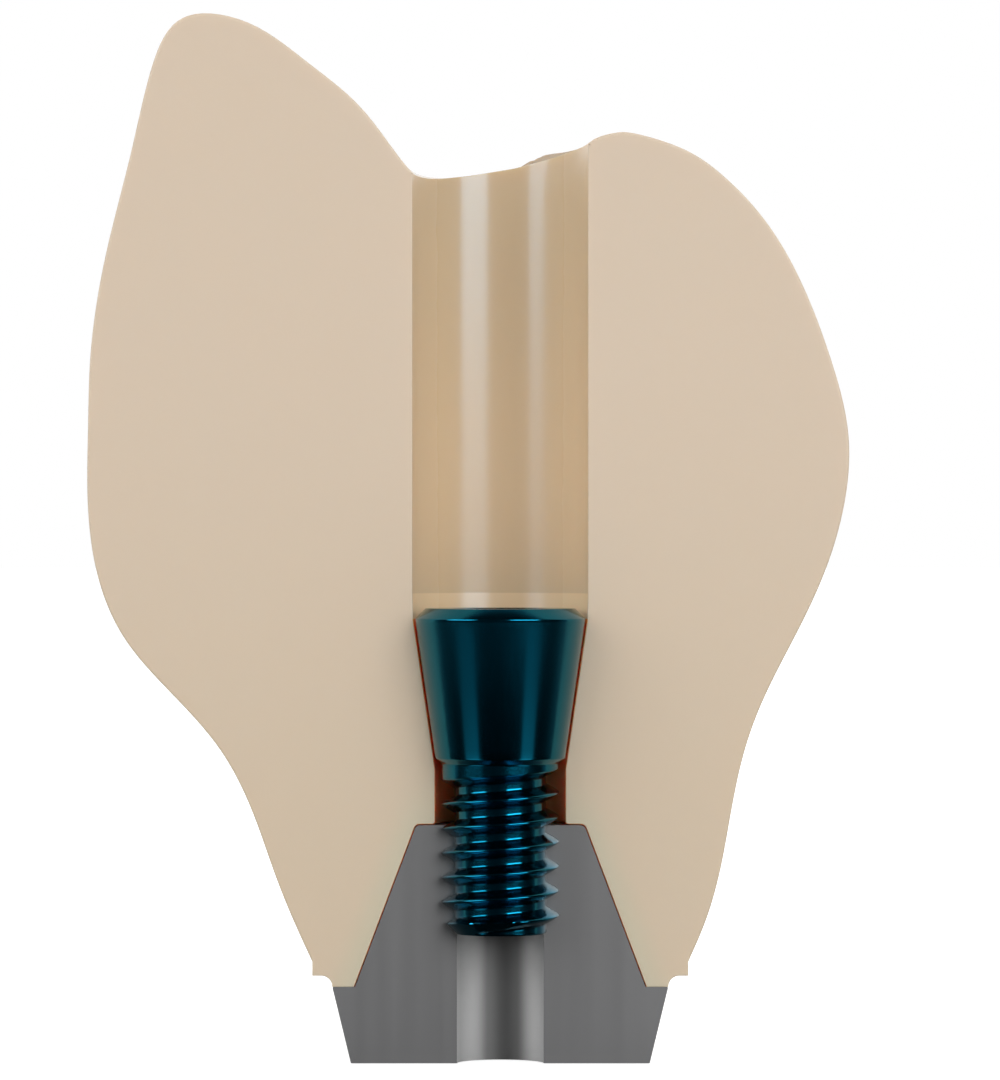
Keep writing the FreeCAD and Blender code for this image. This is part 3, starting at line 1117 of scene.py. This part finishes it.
@dataclass
class Prosthesis:
    """The cut half of the zirconia prosthesis."""

    form: ToothForm
    columns_round: int = 200
    outer_rows: int = 170
    channel_rows: int = 30
    channel_radius: float = 1.255
    channel_foot: float = 6.72
    seat_top_radius: float = 1.245
    seat_top: float = 6.35
    seat_low: float = 4.199
    lower_bore_radius: float = 0.93
    socket_top: float = 3.415
    socket_top_radius: float = 1.209
    seat_rounding: float = 0.05
    bore_rounding: float = 0.04
    socket_rounding: float = 0.08
    socket_foot_radius: float = 2.09
    shoulder: float = 1.09
    foot_radius: float = 2.40
    cove_radius: float = 0.16
    cove_steps: int = 8
    edge_fade: float = 0.5
    outer_edge: float = 0.03
    inner_edge: float = 0.012
    edge_steps: int = 3
    edge_inset: float = 2.2
    narrow_first: int = 2
    narrow_last: int = 12
    crisp: float = 0.006
    rim_support: float = 0.035
    longest_face: float = 0.15
    cap_spacing: float = 0.35
    # Painted light from the grey metal cone, tinted into the cut face's border.
    painted_cone_light_width: float = 0.5
    painted_cone_light_height: tuple[float, float] = (3.2, 4.4)
    painted_cone_light_tint: Colour = (0.91, 1.0, 1.0)
    # Painted shade on the biting surface behind the channel's rim.
    painted_shade_middle: tuple[float, float] = (0.55, 2.0)
    painted_shade_spread: tuple[float, float] = (0.5, 1.3)
    painted_shade_height: tuple[float, float] = (11.8, 12.4)
    painted_shade_length: float = 0.6
    painted_shade_tint: Colour = (0.62, 0.58, 0.54)
    # Painted light on the channel wall: brightness at its sides, on the tongue side and in the taper band.
    painted_side_light: float = 1.06
    painted_tongue_light: float = 1.08
    painted_taper_light: float = 1.22
    taper_edge: float = 0.02
    # Painted shade in the crevices: how far ambient occlusion looks, where a wall counts as open, and its
    # plain colour there.
    crevice_reach: float = 0.6
    crevice_open: tuple[float, float] = (0.62, 0.86)
    open_colour: Colour = (200, 174, 142)

    def inner_profile(self) -> tuple[Profile, list[Surface]]:
        """Profile from the foot of the channel down to the margin band.

        Returns:
            The points and the kind of surface below each one.
        """
        cove_middle = self.foot_radius + self.cove_radius
        cove = []
        for step in range(1, self.cove_steps + 1):
            angle = math.pi - math.pi / 2 * step / self.cove_steps
            radius = cove_middle + self.cove_radius * math.cos(angle)
            cove.append((radius, self.shoulder + self.cove_radius * math.sin(angle)))
        channel = [(self.channel_radius, self.channel_foot), (self.seat_top_radius, self.seat_top)]
        lean = (self.channel_radius - self.seat_top_radius) / (self.channel_foot - self.seat_top)
        crevice = softened(
            [
                (self.seat_top_radius, self.seat_top),
                (self.lower_bore_radius, self.seat_low),
                (self.lower_bore_radius, self.socket_top),
                (self.socket_top_radius, self.socket_top),
                (self.socket_foot_radius, self.shoulder),
            ],
            {1: self.seat_rounding, 2: self.bore_rounding, 3: self.socket_rounding},
        )
        start = (self.channel_radius - lean * self.crisp, self.channel_foot - self.crisp)
        channel = channel[:1] + divided([start, channel[1]], self.longest_face)
        crevice = divided(crevice, self.longest_face)
        outside = divided([crevice[-1], (self.foot_radius, self.shoulder)], self.longest_face)
        outside += cove
        points = channel + crevice[1:] + outside[1:]
        surfaces = [Surface.CHANNEL] * (len(channel) - 1)
        surfaces += [Surface.CREVICE] * (len(crevice) - 1)
        surfaces += [Surface.OUTSIDE] * len(outside)
        return points, surfaces

    def loops(self) -> tuple[list[np.ndarray], list[Surface]]:
        """Closed profile of the wall at each step round the tooth.

        Returns:
            The loops, from the tongue side to the cheek, and the kind of surface past each point.
        """
        weights = self.form.weights()
        profile, surfaces = self.inner_profile()
        rims = self.channel_rows - 1
        band_low = self.shoulder + self.cove_radius
        made = []
        for k in range(self.columns_round + 1):
            angle = math.pi * k / self.columns_round
            sine = math.sin(angle) if 0 < k < self.columns_round else 0.0
            cosine = math.cos(angle)
            outer = self.form.column(weights, angle, self.channel_radius, self.outer_rows)
            outer[:, 1] = np.where(sine > 0, outer[:, 1], 0.0)
            band = [(self.form.band_radius * cosine, self.form.band_radius * sine, band_low)]
            rim = outer[-1]
            along = rim[:2] / np.hypot(rim[0], rim[1])
            highest, lowest = rim[2] - self.rim_support, self.channel_foot + self.crisp
            wall = [
                (*(along * self.channel_radius), highest + (lowest - highest) * step / (rims - 2))
                for step in range(rims - 1)
            ]
            foot_mix = np.linspace(0.0, 1.0, len(profile))
            inner = []
            for share, (radius, height) in zip(foot_mix, profile):
                aim = along * (1 - share) + np.array([cosine, sine]) * share
                aim = aim / np.hypot(aim[0], aim[1])
                inner.append((radius * aim[0], radius * aim[1], height))
            made.append(np.vstack([band, outer, wall, inner]))
        kinds = [Surface.OUTSIDE] * self.outer_rows + [Surface.CHANNEL] * rims + surfaces
        return made, kinds

    def edge_widths(self, kinds: Sequence[Surface]) -> np.ndarray:
        """Width of the softened edge at each point of a loop: wide outside, narrow in the fits."""
        wide = np.array([self.outer_edge if k is Surface.OUTSIDE else self.inner_edge for k in kinds])
        wide[-self.narrow_last :] = self.inner_edge
        wide[: self.narrow_first] = self.inner_edge
        return wide

    def edge_loops(self, loop: np.ndarray, widths: np.ndarray, side: float) -> list[np.ndarray]:
        """Loops that carry the wall round a soft edge into the cut face.

        Args:
            loop: the wall's profile in the cut plane.
            widths: width of the soft edge at each point.
            side: 1 on the tongue side and -1 at the cheek.

        Returns:
            The loops, from inside the cut face out to the wall.
        """
        flat = loop[:, [0, 2]]
        ahead = np.roll(flat, -1, axis=0) - flat
        ahead /= np.linalg.norm(ahead, axis=1)[:, None]
        inward = side * np.stack([-ahead[:, 1], ahead[:, 0]], axis=1)
        before = np.roll(inward, 1, axis=0)
        mitre = (inward + before) / (1 + np.sum(inward * before, axis=1))[:, None]
        turns = [math.pi / 2 * step / self.edge_steps for step in range(self.edge_steps)]
        rounding = [(1 - math.sin(turn), 1 - math.cos(turn)) for turn in turns]
        made = []
        for inset, depth in [(self.edge_inset, 0.0), *rounding]:
            shifted = flat + mitre * (widths * inset)[:, None]
            made.append(np.stack([shifted[:, 0], widths * depth, shifted[:, 1]], axis=1))
        return made

    def cut_painted_cone_light(self, made: Material, colour: Socket) -> Socket:
        """Painted light: a greener, cooler border where the cut ceramic meets the metal cone, standing for
        the grey light of the cone cast into the ceramic's translucent edge.
        """
        sheet = made.sheet
        x, _, z = sheet.split(made.place)
        lean = (self.socket_foot_radius - self.socket_top_radius) / (self.socket_top - self.shoulder)
        wall = sheet.calc("SUBTRACT", self.socket_top * MM, z) * lean + self.socket_top_radius * MM
        off = x.calc("ABSOLUTE") - wall
        full, gone = self.painted_cone_light_height
        near = sheet.over(off, 0.0, self.painted_cone_light_width, 1.0, 0.0) * sheet.over(z, full, gone, 1.0, 0.0)
        return sheet.blend(near, colour, sheet.tinted(colour, (*self.painted_cone_light_tint, 1.0)))

    def outside_painted_shade(self, made: Material, colour: Socket) -> Socket:
        """Painted shade: a brown, dull patch on the biting surface round the grooves, behind the channel's
        rim, where that surface lies in shade.
        """
        sheet = made.sheet
        x, y, z = sheet.split(made.place)
        along = x - self.painted_shade_middle[0] * MM
        deep = y - self.painted_shade_middle[1] * MM
        away = (along * along * self.painted_shade_length + deep * deep).calc("SQRT")
        # Painted shade: the patch's brown tint darkens the surface behind the rim; there it also loses coat
        # and gains roughness.
        painted_shade_share = sheet.over(away, *self.painted_shade_spread, 1.0, 0.0) * sheet.over(z, *self.painted_shade_height)
        unpainted_shade_share = sheet.calc("SUBTRACT", 1.0, painted_shade_share)
        made.set(
            Coat_Weight=unpainted_shade_share * 0.6,
            Specular_IOR_Level=unpainted_shade_share * 0.5,
            Roughness=painted_shade_share * 0.6 + 0.3,
        )
        return sheet.blend(painted_shade_share, colour, sheet.tinted(colour, (*self.painted_shade_tint, 1.0)))

    def channel_painted_light(self, made: Material, colour: Socket) -> Socket:
        """Painted light: the wall is paler in the taper band at its foot and towards the sides, above all on
        the tongue side, where more light falls.
        """
        sheet = made.sheet
        x, _, z = sheet.split(made.place)
        edge, foot = self.channel_radius, self.channel_foot
        side = sheet.over(x.calc("ABSOLUTE"), 0.3, edge, 1.0, self.painted_side_light)
        tongue = sheet.over(x, 0.2, edge, 1.0, self.painted_tongue_light)
        taper = sheet.over(z, foot - self.taper_edge, foot, self.painted_taper_light, 1.0)
        # Painted light: grey is a brightness multiplier, not a grey colour.
        grey = side * tongue * taper
        return sheet.tinted(colour, sheet.join(grey, grey, grey))

    def crevice_painted_shade(self, made: Material, colour: Socket) -> Socket:
        """Painted shade: red brown where the screw or the abutment shuts a wall in, as ambient occlusion
        reads it, and plain where it stands open.

        Args:
            made: the crevice's material.
            colour: the painted red-brown shade it takes in the deep.

        Returns:
            The colour for deep and open walls.
        """
        sheet = made.sheet
        # Painted shade: shut-in walls take the red-brown colour and the full subsurface glow.
        nearness = sheet.add("ShaderNodeAmbientOcclusion", Distance=self.crevice_reach * MM)
        standing_open = sheet.step(sheet.term(nearness.outputs["AO"]), *self.crevice_open)
        made.set(Subsurface_Weight=standing_open * -0.9 + 1.0)
        return sheet.blend(standing_open, colour, linear(self.open_colour))

    def finishes(self) -> list[bpy.types.Material]:
        """Cut face, glazed outside, channel wall and the deep crevice round the screw."""
        # Painted light: the crown colour is a little lighter than the foot, standing for light that falls on
        # the cut face from above; the lamps make the rest of that fall.
        cut = CeramicFinish(
            name="cut_zirconia",
            foot=(200, 182, 158),
            crown=(205, 187, 166),
            roughness=0.5,
            deep_roughness=0.5,
            cloud=0.012,
            cloud_mm=1.6,
            grain_um=0.25,
            glow=0.1,
            glaze=0.0,
            bending=1.4,
        )
        outside = CeramicFinish(
            name="glazed_zirconia",
            foot=(206, 184, 156),
            crown=(218, 203, 184),
            roughness=0.3,
            deep_roughness=0.3,
            cloud=0.02,
            cloud_mm=1.8,
            grain_um=1.2,
            glow=0.25,
            glaze=0.6,
        )
        channel = CeramicFinish(
            name="channel_zirconia",
            foot=(214, 186, 150),
            crown=(196, 173, 141),
            roughness=0.18,
            deep_roughness=0.20,
            cloud=0.01,
            cloud_mm=1.0,
            grain_um=0.05,
            glow=0.2,
            glaze=0.3,
            glaze_roughness=0.34,
            glow_mm=0.3,
            reflection=(0.46, 0.80, 1.12),
            matt_side=1.2,
            foot_height=6.0,
            crown_height=13.0,
        )
        # Painted shade: this saturated orange red brown, deeper towards the foot, stands in for the dark
        # reddish glow of the narrow gaps round the screw; the subsurface glow on it is real light.
        crevice = CeramicFinish(
            name="crevice_zirconia_painted_shade",
            foot=(226, 140, 92),
            crown=(240, 172, 116),
            roughness=0.6,
            deep_roughness=0.6,
            cloud=0.02,
            cloud_mm=0.5,
            grain_um=0.5,
            glow=1.0,
            glaze=0.0,
            bending=1.3,
            glow_mm=0.8,
            glow_spread=(1.0, 0.40, 0.18),
            foot_height=3.4,
            crown_height=6.3,
        )
        return [
            cut.material(self.cut_painted_cone_light),
            outside.material(self.outside_painted_shade),
            channel.material(self.channel_painted_light),
            crevice.material(self.crevice_painted_shade),
        ]

    def build(self) -> bpy.types.Object:
        """Makes the prosthesis."""
        loops, kinds = self.loops()
        widths = self.edge_widths(kinds)
        right = self.edge_loops(loops[0], widths, 1.0)
        left = self.edge_loops(loops[-1], widths, -1.0)
        for loop in loops:
            loop[:, 1] += widths * np.clip(1 - loop[:, 1] / self.edge_fade, 0, 1)
        builder = PieceBuilder()
        made = builder.grid(right + loops + left[::-1], kinds)
        soft = len(right)
        ends = {v for ring in made[:soft] + made[-soft:] for v in ring}
        flat = {v for ring in (made[0], made[-1]) for v in ring}
        for face in builder.mesh.faces:
            in_crevice = face.material_index == Surface.CREVICE.value
            if any(v in (flat if in_crevice else ends) for v in face.verts):
                face.material_index = Surface.CUT.value
        builder.cap(made[0], Surface.CUT, self.cap_spacing)
        builder.cap(made[-1], Surface.CUT, self.cap_spacing)
        return builder.finish("cut_prosthesis", self.finishes(), 34.0)


class LampUse(Enum):
    """What a lamp is for."""

    SHADING = "lights matt surfaces"
    MIRRORED = "shows in shiny surfaces"
    BOTH = "does both"


@dataclass
class Studio:
    """Camera, lights, floor and surroundings."""

    distance: float = 86.0
    aim: tuple[float, float, float] = (-0.004, 0.0, 7.476)
    field_height: float = 15.43
    sensor: float = 36.0
    floor_drop: float = 0.01
    floor_size: float = 3000.0
    fill: float = 0.42
    front_fade: tuple[float, float] = (-0.02, 0.42)
    front_glow: float = 0.015
    shadow_grey: tuple[float, float, float, float] = (0.4, 0.4, 0.4, 1.0)
    floor_grey: tuple[float, float, float, float] = (0.7, 0.7, 0.7, 1.0)
    lamp_distance: float = 300.0
    stripe_edge: float = 4.0

    def camera(self) -> bpy.types.Object:
        """Level camera straight in front of the cut faces."""
        data = bpy.data.cameras.new("camera")
        data.sensor_width = self.sensor
        data.lens = self.sensor * self.distance / self.field_height
        data.clip_start = 1 * MM
        data.clip_end = 10.0
        camera = bpy.data.objects.new("camera", data)
        camera.location = Vector(self.aim) * MM + Vector((0, -self.distance * MM, 0))
        camera.rotation_euler = (math.pi / 2, 0, 0)
        bpy.context.scene.collection.objects.link(camera)
        bpy.context.scene.camera = camera
        return camera

    def softbox(
        self, name: str, turn: float, rise: float, width: float, height: float, glow: float, use: LampUse
    ) -> bpy.types.Object:
        """Adds a softbox that faces the object.

        Args:
            name: the lamp's name.
            turn: degrees round the object, 0 at the camera and positive to its right.
            rise: degrees above the horizon.
            width: degrees that it spans from side to side.
            height: degrees that it spans up and down.
            glow: how bright its face is, where 1 is white.
            use: what the lamp is for.

        Returns:
            The lamp.
        """
        away = self.lamp_distance * MM
        data = bpy.data.lights.new(name, "AREA")
        data.shape = "RECTANGLE"
        data.size = 2 * away * math.tan(math.radians(width / 2))
        data.size_y = 2 * away * math.tan(math.radians(height / 2))
        data.energy = glow * math.pi * data.size * data.size_y
        lamp = bpy.data.objects.new(name, data)
        lamp.visible_glossy = use is not LampUse.SHADING
        lamp.visible_diffuse = use is not LampUse.MIRRORED
        a, e = math.radians(turn), math.radians(rise)
        out = Vector((math.sin(a) * math.cos(e), -math.cos(a) * math.cos(e), math.sin(e)))
        lamp.location = Vector(self.aim) * MM + out * away
        lamp.rotation_euler = out.to_track_quat("Z", "Y").to_euler()
        bpy.context.scene.collection.objects.link(lamp)
        return lamp

    def lights(self) -> None:
        """Two upright strips in front, a top light and two soft lights behind."""
        lamps = (
            ("strip_right", 34, 25, 36, 46, 2.7, LampUse.SHADING),
            ("strip_left", -52, 26.5, 36, 46, 1.9, LampUse.SHADING),
            ("sheen_right", 35, 20.6, 37, 36.4, 7.2, LampUse.MIRRORED),
            ("sheen_left", -57, 21.1, 38, 36.4, 5.6, LampUse.MIRRORED),
            ("top", 10, 78, 50, 40, 0.8, LampUse.SHADING),
            ("back_right", 140, 30, 36, 50, 1.8, LampUse.BOTH),
            ("back_left", -140, 30, 36, 50, 1.8, LampUse.BOTH),
        )
        for lamp in lamps:
            self.softbox(*lamp)

    def world(self) -> None:
        """White behind the object, dim in front of it, and an even fill."""
        world = bpy.data.worlds.new("surroundings")
        bpy.context.scene.world = world
        world.use_nodes = True
        tree = world.node_tree
        tree.nodes.clear()
        sheet = NodeSheet(tree)
        path = sheet.add("ShaderNodeLightPath").outputs
        y = sheet.split(sheet.add("ShaderNodeTexCoord").outputs["Generated"])[1]
        seen = sheet.step(y, *self.front_fade, self.front_glow, 1.0)
        fill = sheet.mirrored_rays(path) * (seen - self.fill) + self.fill
        strength = fill.calc("MAXIMUM", sheet.term(path["Is Camera Ray"]))
        background = sheet.add("ShaderNodeBackground", Color=(1.0, 1.0, 1.0, 1.0), Strength=strength)
        output = sheet.add("ShaderNodeOutputWorld")
        sheet.feed(output.inputs["Surface"], background.outputs[0])

    def stripe(self, sheet: NodeSheet, turn: Term, first: float, last: float) -> Term:
        """1 between two angles in degrees and 0 past them, with eased edges."""
        edge = self.stripe_edge
        rise = sheet.step(turn, math.radians(first), math.radians(first + edge))
        return rise - sheet.step(turn, math.radians(last - edge), math.radians(last))

    def mirrored_strips(self, sheet: NodeSheet, x: Term, y: Term) -> Term:
        """Painted reflection of the two front softboxes: stripes of glow on the floor that only shiny
        surfaces see.
        """
        turn = x.calc("ARCTAN2", y * -1.0)
        strips = self.stripe(sheet, turn, 35, 61) * 0.45 + self.stripe(sheet, turn, -65, -35) * 0.34
        away = (x * x + y * y).calc("SQRT")
        near = sheet.over(away, 2, 8) * sheet.over(away, 14, 30, 1.0, 0.0)
        inner = sheet.over(away, 9, 12.5, 3.5, 1.0)
        outer = sheet.over(away, 14.5, 19, 1.0, 0.65)
        return strips * near * inner * outer

    def floor(self) -> bpy.types.Object:
        """Pale floor that runs into the white surroundings and keeps a soft shadow. For shiny surfaces it
        glows instead, with painted reflections of the front softboxes and painted glow behind the object.
        """
        mesh = bpy.data.meshes.new("floor")
        made = bmesh.new()
        bmesh.ops.create_circle(made, cap_ends=True, radius=self.floor_size * MM / 2, segments=96)
        made.to_mesh(mesh)
        made.free()
        floor = bpy.data.objects.new("floor", mesh)
        floor.location = (0, 0, -self.floor_drop * MM)
        bpy.context.scene.collection.objects.link(floor)
        material = bpy.data.materials.new("pale_floor")
        material.use_nodes = True
        tree = material.node_tree
        tree.nodes.clear()
        sheet = NodeSheet(tree)
        path = sheet.add("ShaderNodeLightPath").outputs
        x, y, _ = sheet.split(sheet.add("ShaderNodeTexCoord").outputs["Object"])
        away = (x * x + y * y).calc("SQRT")
        glow = sheet.over(away, 6, 50, 0.8, 1.0)
        white = sheet.add("ShaderNodeEmission", Color=(1.0, 1.0, 1.0, 1.0), Strength=glow)
        shaded = sheet.add("ShaderNodeBsdfDiffuse", Color=self.shadow_grey)
        shown = sheet.add("ShaderNodeAddShader")
        sheet.feed(shown.inputs[0], white.outputs[0])
        sheet.feed(shown.inputs[1], shaded.outputs[0])
        # Painted light: what shiny surfaces see of the floor is its own glow, brighter further behind the
        # object and just behind it, plus the painted softbox stripes.
        behind = sheet.over(y, -6, 12, 0.02, 0.22) + sheet.over(y, 20, 80, 0.0, 0.78)
        seen = behind * sheet.over(away, 11.5, 20.5, 0.15, 1.0)
        seen = seen + sheet.over(y, 1, 4) * sheet.over(away, 6, 11, 0.45, 0.0)
        seen = seen + self.mirrored_strips(sheet, x, y)
        mirrored = sheet.add("ShaderNodeEmission", Color=(1.0, 1.0, 1.0, 1.0), Strength=seen)
        plain = sheet.add("ShaderNodeBsdfDiffuse", Color=self.floor_grey)
        rest = sheet.add("ShaderNodeMixShader", Fac=sheet.mirrored_rays(path))
        sheet.feed(rest.inputs[1], plain.outputs[0])
        sheet.feed(rest.inputs[2], mirrored.outputs[0])
        both = sheet.add("ShaderNodeMixShader", Fac=path["Is Camera Ray"])
        sheet.feed(both.inputs[1], rest.outputs[0])
        sheet.feed(both.inputs[2], shown.outputs[0])
        output = sheet.add("ShaderNodeOutputMaterial")
        sheet.feed(output.inputs["Surface"], both.outputs[0])
        mesh.materials.append(material)
        return floor

    def build(self) -> None:
        """Sets up everything that isn't the object."""
        self.camera()
        self.lights()
        self.world()
        self.floor()
        bpy.context.scene.view_settings.view_transform = "Standard"


def main() -> None:
    """Builds the studio and dresses each piece."""
    logging.basicConfig(level=logging.INFO, format="%(name)s: %(message)s")
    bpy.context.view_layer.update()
    Studio().build()
    thread = ThreadSize()
    tree = ThreadTree()
    pieces = [
        (Prosthesis(ToothForm()).build(), "prosthesis", "prosthesis", "zirconia"),
        (ProstheticScrew(thread, tree).build(), "prosthetic_screw", "screw", "anodised_titanium"),
        (Abutment(thread, tree).build(), "multi_unit_abutment", "abutment", "titanium"),
    ]
    for piece, node, body, slot in pieces:
        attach(piece, body)
        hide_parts(node)
        log.info("%s stands for %s on body %s", piece.name, node, body)


if __name__ == "__main__":
    main()
